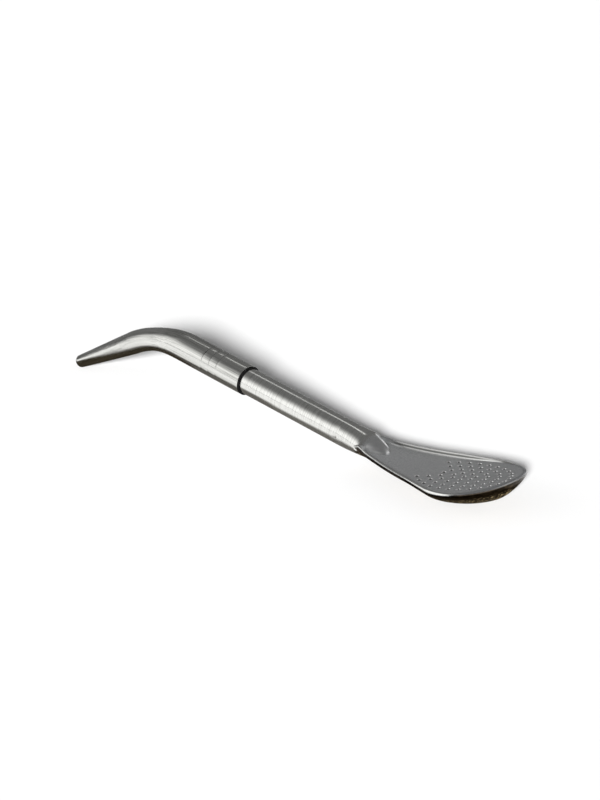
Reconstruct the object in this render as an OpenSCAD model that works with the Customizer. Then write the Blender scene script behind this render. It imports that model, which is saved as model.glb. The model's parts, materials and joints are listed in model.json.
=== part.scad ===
// Spoon-ended drinking straw (bombilla) with a pull-off, swivelling mouthpiece.
// Every piece is drawn along the stem's axis: x runs from the seal's shoulder to the spoon, and z points
// out of the spoon's face. place() then lays the straw on a table, on its mouth and on the spoon's belly.

/* [Stem] */
// Outside diameter of the stem
stem_d = 8; // [6:0.1:10]
// Wall of the stem tube
stem_wall = 0.6; // [0.4:0.05:0.8]
// Length of the stem between the seal and the spoon
stem_len = 39; // [20:1:120]
// Length of the nose that slopes down onto the spoon's face
nose_len = 16.5; // [12:0.5:22]
// Radius left at the foot of the nose
nose_foot_r = 0.75; // [0.5:0.05:1.2]
// How full the nose stays before it drops: 1 is a straight cone
nose_full = 3; // [1:0.1:4]

/* [Mouthpiece] */
// How far the sleeve stands proud of the stem
sleeve_step = 0.5; // [0.4:0.05:1]
// Wall of the mouthpiece tube
mouthpiece_wall = 0.4; // [0.3:0.05:0.6]
// Length of the straight sleeve
sleeve_len = 24; // [20:0.5:40]
// Radius of the bend, to the tube's centre line
bend_r = 39.5; // [25:0.5:60]
// Angle of the bend
bend_angle = 35; // [20:0.5:50]
// Share of the bend in which the sleeve narrows to the waist
swage_share = 0.66; // [0.3:0.02:1]
// Outside diameter of the waist, where the beak starts
waist_d = 7.15; // [6:0.05:8]
// Length of the tapered beak beyond the bend
beak_len = 28.5; // [15:0.5:60]
// Outside diameter at the mouth
mouth_d = 4; // [3:0.1:6]

/* [Engraved lines] */
// Number of lines round the sleeve
line_count = 3; // [1:1:4]
// Distance from the sleeve's open end to the first line
line_first = 9.9; // [5:0.1:10]
// Distance from the last line to the start of the bend
line_last = 8.1; // [5:0.1:8.5]
// Width of a line
line_w = 0.35; // [0.2:0.05:0.45]
// Depth of a line
line_depth = 0.1; // [0.05:0.01:0.2]

/* [Seal] */
// Thickness of the seal's flange
flange_t = 1; // [0.6:0.1:2]
// Rounding of the flange's rim
flange_edge = 0.3; // [0.1:0.05:0.3]
// Wall of the seal between spigot and sleeve
bush_wall = 0.45; // [0.3:0.05:0.6]
// Distance from the end of the spigot back to the end of the seal
bush_setback = 2; // [1:0.5:6]
// Distance from the start of the bend back to the end of the spigot
spigot_setback = 5.5; // [2:0.5:8]
// Running clearance of the seal, each side
fit = 0.05; // [0.02:0.01:0.1]

/* [Spoon] */
// Width of the spoon over its rim
spoon_w = 30.2; // [24:0.2:40]
// Length from the end of the stem to the tip of the spoon
spoon_len = 61.3; // [50:0.1:90]
// Length of the neck before the rim starts to flare
neck_len = 0.5; // [0.5:0.5:8]
// Length over which the neck turns into the flare
flare_blend = 9; // [4:0.5:12]
// Radius of the face's curve, seen from the side
face_r = 150; // [110:1:400]
// Distance from the end of the stem to the start of the face's curve
face_from = 2; // [0:0.5:8]
// Length of the underside that runs on straight from the stem
keel_len = 21; // [15:0.5:40]
// How far the flanks of the back are drawn straight: 1 is an ellipse, 2 a straight line to the keel
flank_draw = 1.76; // [1:0.02:1.86]
// The same in the bowl
bowl_draw = 1.36; // [1:0.02:1.8]
// Wall of the spoon's back
shell_wall = 0.7; // [0.5:0.05:1]
// Width of the rounded rim
rim_w = 1; // [0.8:0.05:1.4]
// Height of the rim over the face along the sides
lip_side = 1.3; // [0.6:0.05:1.6]
// Height of the rim over the face round the front
lip_front = 0.6; // [0.5:0.05:1.6]
// Depth of the upright hem under the rim, as a share of the depth from the rim to the ledge
hem_share = 0.42; // [0.3:0.01:0.8]
// Width of the ledge under the face plate
ledge_w = 0.9; // [0.7:0.05:1.2]
// Depth of the flat on the belly that rests on the table
rest_flat = 0.3; // [0.1:0.05:0.5]

/* [Filter plate] */
// Thickness of the plate
plate_t = 0.45; // [0.3:0.05:0.6]
// Gap between the plate and the rim
plate_gap = 0.08; // [0.05:0.01:0.2]
// Diameter of a hole
hole_d = 1.15; // [0.8:0.05:1.4]
// Number of rings of holes round the middle one
ring_count = 4; // [2:1:5]
// Holes in the innermost ring, and added with each further ring
ring_holes = 7; // [5:1:8]
// Distance from the side of the spoon to the outermost holes
hole_side = 4.3; // [3.5:0.1:6]
// Distance from the tip of the spoon to the outermost holes
hole_front = 2.1; // [2:0.1:4]
// Length of the rings over their width
ring_stretch = 1.37; // [1.1:0.01:1.5]
// Outer rings stop this many degrees short of the stem's side
ring_gap = 31; // [20:1:60]

/* [Hidden] */
$fn = 96;

steel = "#c4c6c4";
dark_steel = "#6b5f52";
grey_steel = "#8e9090";
black_rubber = "#181818";

// Clearance of the brazed joints within the spoon
braze = 0.03;
// The bend grows out of the wall of the sleeve, this much inside its surface and this deep
seam = 0.02;
seam_reach = 0.3;
// Half size of solids that reach past the part
past = 60;
// Facets of the large face cylinder
face_fn = 720;

// Radii from the stem outwards and inwards through the seal
stem_r = stem_d / 2;
stem_bore_r = stem_r - stem_wall;
sleeve_r = stem_r + sleeve_step;
sleeve_bore_r = sleeve_r - mouthpiece_wall;
bush_r = sleeve_bore_r - fit;
bush_bore_r = bush_r - bush_wall;
spigot_r = bush_bore_r - fit;
spigot_bore_r = spigot_r - stem_wall;
waist_r = waist_d / 2;
mouth_r = mouth_d / 2;
mouth_lip = mouthpiece_wall / 2;

// Spacing of the engraved lines
line_pitch = (sleeve_len - line_first - line_last) / max(line_count - 1, 1);

// Stations from the seal's shoulder toward the mouth
flange_from = fit;
flange_to = flange_from + flange_t;
sleeve_from = flange_to + fit;
bend_from = sleeve_from + sleeve_len;
bend_len = bend_r * bend_angle * PI / 180;
spigot_len = bend_from - spigot_setback;
bush_to = spigot_len - bush_setback;
beak_x = -bend_from - bend_r * sin(bend_angle);
beak_z = bend_r * (cos(bend_angle) - 1);

// Stations from the shoulder toward the spoon
nose_tip_solid = nose_len / 8;
tip_x = stem_len + spoon_len;
bowl_r = spoon_w / 2;
bowl_x = tip_x - bowl_r;
face_x = stem_len + face_from;
blend_from = stem_len + neck_len;
blend_to = blend_from + flare_blend;
flare_x = blend_from + flare_blend / 2;
keel_x = stem_len + keel_len;
ring_step_y = (bowl_r - hole_side) / ring_count;
ring_step_x = ring_step_y * ring_stretch;
hole_x = tip_x - hole_front - ring_count * ring_step_x;

// Side view of the spoon
function smooth(t) = let (u = min(max(t, 0), 1)) u * u * (3 - 2 * u);
function face_z(x) = x < face_x ? 0 : face_r - sqrt(face_r * face_r - (x - face_x) * (x - face_x));
lip_from = flare_x;
lip_run = 8;
// Length over which the back's sections turn from the stem's circle to the flanks' shape
draw_run = 12;
function lip_level(x) = lip_side + (lip_front - lip_side) * smooth((x - bowl_x + bowl_r) / bowl_r);
function lip_h(x) = smooth((x - lip_from) / lip_run) * lip_level(x);
// The rim is rounded no deeper than the plate, so that the ledge stays below it at the neck
rim_round = min(rim_w / 2, plate_t);
function rim_z(x) = face_z(x) + lip_h(x) - rim_round;
function edge_z(x) = rim_z(x) - hem_share * (lip_h(x) + plate_t);
function plate_under_z(x) =
    x < face_x ? -plate_t : face_r - sqrt(pow(face_r + plate_t, 2) - pow(x - face_x, 2));
function ledge_z(x) = plate_under_z(x) - braze;
// A level run at height low that turns up from the keel's end in a quarter ellipse, to height high at x = to
function upturn(x, low, to, high) =
    x < keel_x ? low : high - (high - low) * sqrt(max(0, 1 - pow((x - keel_x) / (to - keel_x), 2)));

// Plan of the rim: each station is [x, y, outward normal x, outward normal y]
bowl_reach = norm([bowl_x - flare_x, stem_r]);
flank_turn = atan2(stem_r, flare_x - bowl_x) - acos(bowl_r / bowl_reach);
flank_slope = -cos(flank_turn) / sin(flank_turn);
flank_end = bowl_x + bowl_r * cos(flank_turn);
function flank_y(x) = stem_r + flank_slope * (x - flare_x);
function blend_y(x) = stem_r + flank_slope * pow(x - blend_from, 2) / (2 * flare_blend);
function blend_slope(x) = flank_slope * (x - blend_from) / flare_blend;
function station(x, y, slope) = [x, y, -slope / norm([1, slope]), 1 / norm([1, slope])];
blend_steps = 6;
flank_steps = 8;
round_steps = 18;
neck_station = station(stem_len, stem_r, 0);
blend_stations = [
    for (i = [0 : blend_steps]) let (x = blend_from + (blend_to - blend_from) * i / blend_steps)
        station(x, blend_y(x), blend_slope(x))
];
flank_stations = [
    for (i = [1 : flank_steps - 1]) let (x = blend_to + (flank_end - blend_to) * i / flank_steps)
        station(x, flank_y(x), flank_slope)
];
round_stations = [
    for (i = [0 : round_steps - 1]) let (a = flank_turn * (1 - i / round_steps))
        [bowl_x + bowl_r * cos(a), bowl_r * sin(a), cos(a), sin(a)]
];
rim_stations = concat([neck_station], blend_stations, flank_stations, round_stations);
tip_station = [tip_x, 0, 1, 0];
function inset(s, d) = [s[0] - d * s[2], s[1] - d * s[3]];

// How the straw lies: the line under the lip of the mouth and under the belly sets the tilt
function beak_point(r, s) =
    [
        beak_x - s * cos(bend_angle) - r * sin(bend_angle),
        beak_z - s * sin(bend_angle) + r * cos(bend_angle)
    ];
lip_steps = 8;
lip_points = [
    for (i = [0 : lip_steps]) let (a = 180 * i / lip_steps)
        [mouth_r - mouth_lip * (1 - cos(a)), beak_len - mouth_lip * (1 - sin(a))]
];
lip_under = [for (p = lip_points) beak_point(-p[0], p[1])];
lip_over = [for (p = lip_points) beak_point(p[0], p[1])];
keel_points = [for (s = rim_stations) [s[0], upturn(s[0], -stem_r, tip_x, edge_z(tip_x))]];
touch_tilt = min([for (k = keel_points) max([for (q = lip_under) atan2(k[1] - q[1], k[0] - q[0])])]);
tilt = touch_tilt + atan(rest_flat / (keel_x + bend_from + beak_len));
function laid_x(p) = p[0] * cos(tilt) + p[1] * sin(tilt);
function laid_z(p) = p[1] * cos(tilt) - p[0] * sin(tilt);
rim_arc = [0, 45, 90, 135, 180];
tip_rim = [for (a = rim_arc) [tip_x - rim_w / 2 * (1 - cos(a)), rim_z(tip_x) + rim_round * sin(a)]];
table_z = min([for (q = lip_under) laid_z(q)]);
mouth_end = min([for (q = concat(lip_under, lip_over)) laid_x(q)]);
spoon_end = max([for (q = tip_rim) laid_x(q)]);

module place() {
    translate([-(mouth_end + spoon_end) / 2, 0, -table_z]) rotate([0, tilt, 0]) children();
}

// Turned shapes: profiles are [radius, distance along the axis]
module toward_mouth() {
    rotate([0, -90, 0]) children();
}

module toward_spoon() {
    rotate([0, 90, 0]) children();
}

module face_cylinder(r) {
    translate([face_x, 0, face_r]) rotate([90, 0, 0])
        cylinder(r = r, h = 2 * past, center = true, $fn = face_fn);
}

// Bent mouthpiece: turned sleeve with its engraved lines, then one skin for bend, beak and mouth
sleeve_profile = concat(
    [[sleeve_r, sleeve_from]],
    [
        for (i = [0 : line_count - 1]) let (mid = sleeve_from + line_first + i * line_pitch)
            each [
                [sleeve_r, mid - line_w / 2],
                [sleeve_r - line_depth, mid - line_w / 2],
                [sleeve_r - line_depth, mid + line_w / 2],
                [sleeve_r, mid + line_w / 2]
            ]
    ],
    [[sleeve_r, bend_from], [sleeve_bore_r, bend_from], [sleeve_bore_r, sleeve_from]]
);
tube_fn = 48;
bend_steps = 14;
function bend_tube_r(t) = waist_r + (sleeve_r - waist_r) * (1 - smooth(t / swage_share));
// The skin's profile: [radius, distance beyond the start of the bend], out along the tube and back inside
bend_stations = [for (i = [1 : bend_steps]) [bend_tube_r(i / bend_steps), bend_len * i / bend_steps]];
bore_stations = [for (i = [bend_steps : -1 : 1]) bend_stations[i - 1] - [mouthpiece_wall, 0]];
bend_profile = concat(
    [[sleeve_r - seam, -seam_reach], [sleeve_r - seam, 0]],
    bend_stations,
    [for (p = lip_points) p + [0, bend_len]],
    bore_stations,
    [[sleeve_bore_r + seam, 0], [sleeve_bore_r + seam, -seam_reach]]
);
// The point at angle a round the tube
function tube_point(p, a) =
    let (
        turn = min(max(p[1] / bend_len, 0), 1) * bend_angle,
        straight = min(p[1], 0) + max(p[1] - bend_len, 0),
        x = -bend_from - bend_r * sin(turn) - straight * cos(turn) - p[0] * cos(a) * sin(turn),
        z = bend_r * (cos(turn) - 1) - straight * sin(turn) + p[0] * cos(a) * cos(turn)
    )
        [x, p[0] * sin(a), z];

module bend_skin() {
    n = tube_fn;
    m = len(bend_profile);
    polyhedron(
        points = [for (p = bend_profile, k = [0 : n - 1]) tube_point(p, 360 * k / n)],
        faces = [
            for (i = [0 : m - 1], k = [0 : n - 1])
                let (here = i * n, next = (i + 1) % m * n, turn = (k + 1) % n)
                    each [[here + k, next + turn, here + turn], [here + k, next + k, next + turn]]
        ]
    );
}

module mouthpiece_tube() {
    color(steel) place() {
        toward_mouth() rotate_extrude() polygon(sleeve_profile);
        bend_skin();
    }
}

// Black seal: a flange against the stem's shoulder and a bush inside the sleeve
edge_steps = 4;
function edge_arc(s, from) = [
    for (i = [0 : edge_steps]) let (a = from + 90 * i / edge_steps)
        [sleeve_r - flange_edge * (1 - cos(a)), s + flange_edge * sin(a)]
];

module seal_bush() {
    color(black_rubber) place() toward_mouth() rotate_extrude() polygon(concat(
        [[bush_bore_r, flange_from]],
        edge_arc(flange_from + flange_edge, -90),
        edge_arc(flange_to - flange_edge, 0),
        [[bush_r, flange_to], [bush_r, bush_to], [bush_bore_r, bush_to]]
    ));
}

// Stem: spigot under the mouthpiece, straight tube, and the nose that closes down onto the face
nose_steps = 12;
function nose_profile(root, foot, length) = [
    for (i = [0 : nose_steps]) let (u = i / nose_steps)
        [foot + (root - foot) * (1 - pow(u, nose_full)), stem_len + length * u]
];
stem_profile = [
    [spigot_bore_r, -spigot_len],
    [spigot_r, -spigot_len],
    [spigot_r, 0],
    [stem_r, 0],
    [stem_r, stem_len],
    [stem_bore_r, stem_len],
    [stem_bore_r, stem_wall + stem_bore_r - spigot_bore_r],
    [spigot_bore_r, stem_wall]
];

module nose_solid(root, foot, length) {
    toward_spoon() rotate_extrude() polygon(concat(
        [[0, stem_len]],
        nose_profile(root, foot, length),
        [[0, stem_len + length]]
    ));
}

module stem_tube() {
    color(steel) place() {
        toward_spoon() rotate_extrude() polygon(stem_profile);
        intersection() {
            difference() {
                nose_solid(stem_r, nose_foot_r, nose_len);
                nose_solid(stem_bore_r, 0, nose_len - nose_tip_solid);
            }
            face_cylinder(face_r - braze);
        }
    }
}

// Spoon back: one skin swept along the rim's stations, from the neck to the tip
belly_steps = 20;
function on_table(x, z) = max(z, (table_z + x * sin(tilt)) / cos(tilt));
// The back is round where it meets the stem, and its sections rise to the hem's edge within the blend
function belly_top(x) = edge_z(x) - edge_z(stem_len) * (1 - smooth((x - stem_len) / (blend_to - stem_len)));
// How far the section at x is drawn from an ellipse toward straight sides
function drawn(x) =
    1 + (flank_draw - 1) * smooth((x - stem_len) / draw_run)
    + (bowl_draw - flank_draw) * smooth((x - bowl_x + bowl_r) / bowl_r);
function belly_y(half, a, e) = half * sign(cos(a)) * pow(abs(cos(a)), e);
function outer_curve(s) =
    let (
        x = s[0],
        e = drawn(x),
        top = belly_top(x),
        deep = top - upturn(x, -stem_r, tip_x, edge_z(tip_x)),
        from = asin(pow((top - edge_z(x)) / deep, 1 / e))
    )
        [
            for (j = [0 : belly_steps]) let (a = from + (180 - 2 * from) * j / belly_steps)
                [x, belly_y(s[1], a, e), on_table(x, top - deep * pow(sin(a), e))]
        ];
inner_tip = tip_x - rim_w - ledge_w;
function inner_curve(s) =
    let (
        p = inset(s, rim_w + ledge_w),
        e = drawn(s[0]),
        top = ledge_z(p[0]),
        low = -stem_r + shell_wall,
        deep = top - upturn(p[0], low, inner_tip, ledge_z(inner_tip))
    )
        [
            for (j = [0 : belly_steps]) let (a = 180 * j / belly_steps)
                [p[0], -belly_y(p[1], a, e), top - deep * pow(sin(a), e)]
        ];
// The rounded rim and the wall down to the ledge, from outside to inside, on the side given by sign
function rim_curve(s, sign) = concat(
    [
        for (a = rim_arc) let (p = inset(s, rim_w / 2 * (1 - cos(a))))
            [p[0], sign * p[1], rim_z(s[0]) + rim_round * sin(a)]
    ],
    let (p = inset(s, rim_w)) [[p[0], sign * p[1], ledge_z(p[0])]]
);
rim_points = len(rim_arc) + 1;
function reversed(v) = [for (i = [len(v) - 1 : -1 : 0]) v[i]];
function section(s) =
    concat(outer_curve(s), rim_curve(s, -1), inner_curve(s), reversed(rim_curve(s, 1)));
tip_curve = concat(
    [[tip_x, 0, edge_z(tip_x)]], rim_curve(tip_station, 1), [[inner_tip, 0, ledge_z(inner_tip)]]
);
// For each point of a section, the point of the tip's curve that it closes onto
closes_on = concat(
    [for (j = [0 : belly_steps]) 0],
    [for (i = [1 : rim_points]) i],
    [for (j = [0 : belly_steps]) rim_points + 1],
    [for (i = [rim_points : -1 : 1]) i]
);
// The end at the neck: a strip between back and bowl, and a fan at each edge from a point this far down
cap_turn = 3;
function neck_cap(n) =
    let (b = belly_steps, right = b - cap_turn, bowl = b + rim_points + 1)
        concat(
            [for (k = [right + 1 : bowl + cap_turn - 1]) [right, k + 1, k]],
            [for (k = [bowl + right : n + cap_turn - 2]) [cap_turn, (k + 1) % n, k % n]],
            [
                for (j = [cap_turn : right - 1]) let (m = bowl + b - j)
                    each [[j, m - 1, j + 1], [j, m, m - 1]]
            ]
        );

module skin() {
    rings = [for (s = rim_stations) section(s)];
    n = len(rings[0]);
    last = len(rings) - 1;
    tip = n * len(rings);
    sides = [
        for (i = [0 : last - 1], k = [0 : n - 1]) let (a = i * n + k, b = i * n + (k + 1) % n)
            each [[a, b, b + n], [a, b + n, a + n]]
    ];
    front = [
        for (k = [0 : n - 1])
            let (
                a = last * n + k,
                b = last * n + (k + 1) % n,
                ta = closes_on[k],
                tb = closes_on[(k + 1) % n]
            )
                each ta == tb ? [[a, b, tip + ta]] : [[a, b, tip + tb], [a, tip + tb, tip + ta]]
    ];
    polyhedron(
        points = concat([for (r = rings) each r], tip_curve),
        faces = concat(neck_cap(n), sides, front)
    );
}

module spoon_shell() {
    color(dark_steel) place() skin();
}

// Filter plate: the curved face, cut to the inside of the rim and drilled
plate_inset = rim_w + plate_gap;
plate_side = [for (s = rim_stations) inset(s, plate_inset)];
plate_outline = concat(
    plate_side, [inset(tip_station, plate_inset)], [for (p = reversed(plate_side)) [p[0], -p[1]]]
);
hole_turn = asin((hole_x - face_x) / face_r);
hole_spots = [
    [0, 0],
    for (k = [1 : ring_count], i = [0 : k * ring_holes - 1])
        let (a = 180 - 360 * i / (k * ring_holes))
            if (k <= ring_count / 2 || abs(a) < 180 - ring_gap)
                [k * ring_step_x * cos(a), k * ring_step_y * sin(a)]
];

module filter_plate() {
    color(grey_steel) place() difference() {
        intersection() {
            translate([0, 0, -past]) linear_extrude(2 * past) polygon(plate_outline);
            difference() {
                face_cylinder(face_r + plate_t);
                face_cylinder(face_r);
            }
        }
        for (p = hole_spots) let (turn = hole_turn + p[0] / face_r * 180 / PI)
            translate([face_x, p[1], face_r]) rotate([0, -turn, 0]) translate([0, 0, -face_r - plate_t / 2])
                cylinder(d = hole_d, h = 4 * plate_t, center = true, $fn = 24);
    }
}

mouthpiece_tube();
seal_bush();
stem_tube();
spoon_shell();
filter_plate();
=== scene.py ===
"""Looks of the bombilla: polished tubes, black seal, perforated spoon, on a white floor."""

import json
import math

import bmesh
import bpy
from mathutils import Matrix, Quaternion, Vector
from mathutils.geometry import delaunay_2d_cdt


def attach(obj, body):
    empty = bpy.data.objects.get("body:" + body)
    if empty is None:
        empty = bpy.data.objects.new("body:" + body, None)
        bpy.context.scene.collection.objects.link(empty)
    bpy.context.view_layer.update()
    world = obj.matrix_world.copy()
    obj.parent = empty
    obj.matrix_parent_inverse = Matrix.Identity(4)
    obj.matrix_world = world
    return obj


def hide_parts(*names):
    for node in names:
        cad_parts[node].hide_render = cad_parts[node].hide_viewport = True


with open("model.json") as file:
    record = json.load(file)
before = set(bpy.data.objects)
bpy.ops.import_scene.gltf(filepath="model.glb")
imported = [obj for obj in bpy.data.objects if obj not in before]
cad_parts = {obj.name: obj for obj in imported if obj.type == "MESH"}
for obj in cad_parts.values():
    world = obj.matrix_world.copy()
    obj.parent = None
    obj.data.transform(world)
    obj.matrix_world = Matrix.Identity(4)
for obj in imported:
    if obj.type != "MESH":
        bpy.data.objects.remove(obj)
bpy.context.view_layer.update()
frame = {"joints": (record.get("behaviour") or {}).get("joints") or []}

MM = 0.001
SHARP_ANGLE = math.radians(38)

# Sizes are in millimetres and are mostly the solids' own. Those that differ are the seal's flange and
# the sleeve's end at it, the engraved lines, the bend's turn, the mouth's lip, the nose and the rim.

# Stem
STEM_R = 4.0
STEM_LEN = 39.0

# Spoon: length past the stem, bowl, neck that flares into the flanks, and the face's bend
SPOON_LEN = 61.3
BOWL_R = 15.1
NECK_LEN = 0.5
FLARE_BLEND = 9.0
FACE_R = 150.0
FACE_FROM = 2.0
KEEL_LEN = 21.0
PLATE_T = 0.45
PLATE_GAP = 0.08
BRAZE = 0.03
RIM_W = 1.0
RIM_ROUND = min(RIM_W / 2, PLATE_T)
LEDGE_W = 0.9

# Stations along the spoon, from the seal's shoulder
TIP_X = STEM_LEN + SPOON_LEN
BOWL_X = TIP_X - BOWL_R
FACE_X = STEM_LEN + FACE_FROM
KEEL_X = STEM_LEN + KEEL_LEN
BLEND_FROM = STEM_LEN + NECK_LEN
BLEND_TO = BLEND_FROM + FLARE_BLEND
FLARE_X = BLEND_FROM + FLARE_BLEND / 2
INNER_TIP = TIP_X - RIM_W - LEDGE_W

# The stem's own frame, from the swivel's place: x toward the spoon, z out of the spoon's face
swivel = next(j for j in frame["joints"] if j["name"] == "mouthpiece_swivel")
SHOULDER = Vector(swivel["pos_m"])
ALONG = -Vector(swivel["axis"]).normalized()
ACROSS = Vector((0, 1, 0))
OUT = ALONG.cross(ACROSS)

# Angles of the points round a tube
AROUND = 96
ANGLES = [2 * math.pi * k / AROUND for k in range(AROUND)]
QUARTER = math.pi / 2


def placed(p):
    """A point of the stem's frame in millimetres, in the row frame in metres."""
    return SHOULDER + (ALONG * p[0] + ACROSS * p[1] + OUT * p[2]) * MM


def ease(x, start, run):
    """0 up to start, 1 from start + run on, smooth between."""
    u = min(max((x - start) / run, 0.0), 1.0)
    return u * u * (3 - 2 * u)


def spread(start, stop, count):
    """Evenly spaced values, both ends included."""
    return [start + (stop - start) * i / count for i in range(count + 1)]


# Meshes


def add_piece(name, points, faces, node, body, material, grain, marks=None):
    """A smooth-shaded mesh piece that rides on a body and stands for a CAD node."""
    mesh = bpy.data.meshes.new(name)
    mesh.from_pydata([placed(p) for p in points], [], faces)
    grain_data = mesh.attributes.new("grain", "FLOAT_VECTOR", "POINT").data
    for item, value in zip(grain_data, grain):
        item.vector = value
    for mark, values in (marks or {}).items():
        data = mesh.attributes.new(mark, "FLOAT", "POINT").data
        data.foreach_set("value", values)
    work = bmesh.new()
    work.from_mesh(mesh)
    bmesh.ops.recalc_face_normals(work, faces=work.faces)
    work.to_mesh(mesh)
    work.free()
    mesh.shade_smooth()
    mesh.set_sharp_from_angle(angle=SHARP_ANGLE)
    mesh.materials.append(material)
    piece = bpy.data.objects.new(name, mesh)
    bpy.context.scene.collection.objects.link(piece)
    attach(piece, body)
    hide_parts(node)
    return piece


def ring_faces(rings, around, closed):
    """Quads between rings of equal length; closed joins the last ring to the first."""
    faces = []
    for i in range(rings if closed else rings - 1):
        here = i * around
        there = (i + 1) % rings * around
        for k in range(around):
            turn = (k + 1) % around
            faces.append((here + k, there + k, there + turn, here + turn))
    return faces


def rounded(corner, before, after, r, steps=4):
    """The points of a rounded corner of a profile, r along each side."""
    c = Vector(corner)
    start = c + (Vector(before) - c).normalized() * r
    end = c + (Vector(after) - c).normalized() * r
    return [
        tuple(start * (1 - t) ** 2 + c * 2 * t * (1 - t) + end * t * t)
        for t in spread(0, 1, steps)
    ]


def turned(profile):
    """Points of a profile of (radius, x) turned round the stem's axis."""
    return [(x, r * math.sin(a), r * math.cos(a)) for r, x in profile for a in ANGLES]


def tube_grain(profile):
    """Grain of a tube: across in two directions, then along it."""
    return [(r * math.cos(a), r * math.sin(a), d) for r, d in profile for a in ANGLES]


# Bent mouthpiece: sleeve with engraved lines, bend in which the tube narrows, tapered beak
SLEEVE_R = 4.5
SLEEVE_BORE_R = 4.1
SLEEVE_FROM = 0.65
SLEEVE_LEN = 24.45
SLEEVE_EDGE = 0.12
TUBE_WALL = 0.4
BEND_FROM = SLEEVE_FROM + SLEEVE_LEN
BEND_R = 39.5
BEND_TURN = math.radians(35.25)
BEND_LEN = BEND_R * BEND_TURN
# The tube narrows to the waist in this much of the bend
SWAGE_LEN = 0.66 * BEND_LEN
WAIST_R = 3.575
BEAK_FROM = BEND_FROM + BEND_LEN
BEAK_LEN = 28.5
MOUTH_R = 2.0
# The mouth's lip: how far it comes in, how long its round is, and the radius of its inner edge
LIP_IN = 0.6
LIP_LONG = 1.0
LIP_INNER = 0.2
LINE_FIRST = 9.35
LINE_PITCH = 3.0
LINE_COUNT = 3
LINE_W = 0.35
LINE_DEPTH = 0.06
# A line's softened edge: share of its half width, share of its depth
LINE_EDGE = [(1.25, 0.0), (1.0, 0.1), (0.8, 0.75), (0.5, 1.0)]
# Painted shade in the lines: how much in each, the band of depth that holds it, its side and that side's
# edge
LINE_SHADE = [0.35, 0.4, 1.0]
SHADE_DEPTH = (0.3, 1.1)
SHADE_ACROSS, SHADE_OUT = 0.565, 0.815
SHADE_FADE = 0.25
# Plain stretches keep this far from an edge or a line
PLAIN_END = 1.0
PLAIN_STEPS = 6
BEND_STEPS = 40
BEAK_STEPS = 18
LIP_STEPS = 12
LIP_INNER_STEPS = 4


def tube_point(r, d, a):
    """A point of the bent tube at distance d from the shoulder toward the mouth."""
    s = d - BEND_FROM
    turn = min(max(s / BEND_LEN, 0), 1) * BEND_TURN
    straight = min(s, 0) + max(s - BEND_LEN, 0)
    up = r * math.cos(a)
    x = -BEND_FROM - BEND_R * math.sin(turn) - straight * math.cos(turn) - up * math.sin(turn)
    z = BEND_R * (math.cos(turn) - 1) - straight * math.sin(turn) + up * math.cos(turn)
    return (x, r * math.sin(a), z)


def bend_radius(d):
    """Outer radius of the tube along the bend."""
    return WAIST_R + (SLEEVE_R - WAIST_R) * (1 - ease(d, BEND_FROM, SWAGE_LEN))


def engraved_line(mid):
    """Profile of one engraved line."""
    shape = [(-u, k) for u, k in LINE_EDGE] + LINE_EDGE[::-1]
    return [(SLEEVE_R - LINE_DEPTH * k, mid + LINE_W / 2 * u) for u, k in shape]


def beak_profile():
    """The tapered beak and its rounded lip, as far as the opening."""
    mouth = BEAK_FROM + BEAK_LEN
    taper = [
        (WAIST_R + (MOUTH_R - WAIST_R) * t, BEAK_FROM + (BEAK_LEN - LIP_LONG) * t)
        for t in spread(0, 1, BEAK_STEPS)[1:-1]
    ]
    lip = [
        (MOUTH_R - LIP_IN * (1 - math.cos(a)), mouth - LIP_LONG * (1 - math.sin(a)))
        for a in spread(0, QUARTER, LIP_STEPS)
    ]
    opening = [
        (MOUTH_R - LIP_IN - LIP_INNER * math.sin(a), mouth - LIP_INNER * (1 - math.cos(a)))
        for a in spread(0, QUARTER, LIP_INNER_STEPS)[1:]
    ]
    return taper + lip + opening


def mouthpiece_profile():
    """Out along the tube and back through the bore: (radius, distance toward the mouth)."""
    lines = [SLEEVE_FROM + LINE_FIRST + i * LINE_PITCH for i in range(LINE_COUNT)]
    end = (SLEEVE_BORE_R, SLEEVE_FROM)
    out = rounded((SLEEVE_R, SLEEVE_FROM), end, (SLEEVE_R, BEND_FROM), SLEEVE_EDGE)
    out += [(SLEEVE_R, d) for d in spread(SLEEVE_FROM + PLAIN_END, lines[0] - PLAIN_END, PLAIN_STEPS)]
    for mid in lines:
        out += engraved_line(mid)
    out += [(SLEEVE_R, d) for d in spread(lines[-1] + PLAIN_END, BEND_FROM, PLAIN_STEPS)]
    bend = [(bend_radius(d), d) for d in spread(BEND_FROM, BEAK_FROM, BEND_STEPS)]
    inner = [(r - TUBE_WALL, d) for r, d in reversed(bend)]
    return out + bend[1:] + beak_profile() + inner + [end]


def shade_in_line(r, d, a):
    """Painted shade at a point of the tube: in the lines only, on one side, most in the one next to the
    bend.
    """
    line = round((d - SLEEVE_FROM - LINE_FIRST) / LINE_PITCH)
    depth = (SLEEVE_R - r) / LINE_DEPTH
    if not 0 <= line < LINE_COUNT or not SHADE_DEPTH[0] < depth < SHADE_DEPTH[1]:
        return 0.0
    toward = SHADE_ACROSS * math.sin(a) + SHADE_OUT * math.cos(a)
    return LINE_SHADE[line] * ease(toward, 0.0, SHADE_FADE)


def build_mouthpiece(material):
    profile = mouthpiece_profile()
    points = [tube_point(r, d, a) for r, d in profile for a in ANGLES]
    faces = ring_faces(len(profile), AROUND, True)
    groove_shade = [shade_in_line(r, d, a) for r, d in profile for a in ANGLES]
    return add_piece(
        "mouthpiece_bent", points, faces, "mouthpiece_tube", "mouthpiece",
        material, tube_grain(profile), {"groove_shade": groove_shade},
    )


# Black seal
FLANGE_FROM = 0.05
FLANGE_TO = 0.6
FLANGE_EDGE = 0.2
FLANGE_STEPS = 6
BUSH_R = 4.05
BUSH_BORE_R = 3.6
BUSH_TO = 17.6
BUSH_EDGE = 0.15


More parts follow.
